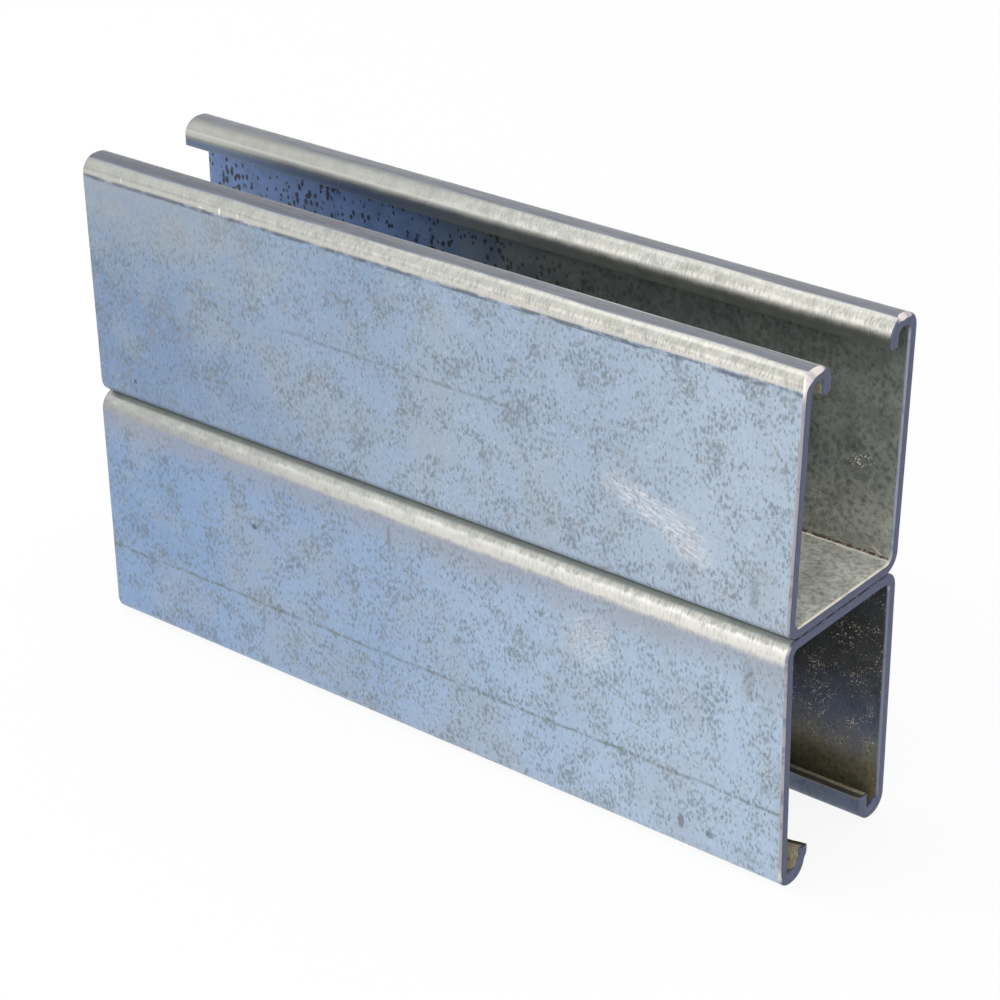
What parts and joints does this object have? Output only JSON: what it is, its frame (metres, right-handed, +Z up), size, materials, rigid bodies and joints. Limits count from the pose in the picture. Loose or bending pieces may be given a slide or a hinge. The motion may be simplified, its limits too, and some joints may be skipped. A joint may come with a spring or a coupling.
{
  "type": "back-to-back strut channel",
  "caption": "Short length of double strut channel: deep lipped channels welded web to web, open slots facing up and down, plain solid walls, galvanised steel.",
  "frame": {"origin": "centre of the footprint, on the plane that the lower lips rest on", "axes": "+X along the stock towards the near cut end, +Y across it towards the back wall, +Z up through both slots"},
  "size_m": [0.2032, 0.0412, 0.1238],
  "materials": {
    "galvanised_steel": "pre-galvanised strip, dulled to a mottled blue-grey with brighter bends and bare grey cut edges"
  },
  "bodies": {
    "root": {"upper_channel": "galvanised_steel", "lower_channel": "galvanised_steel"}
  },
  "joints": []
}
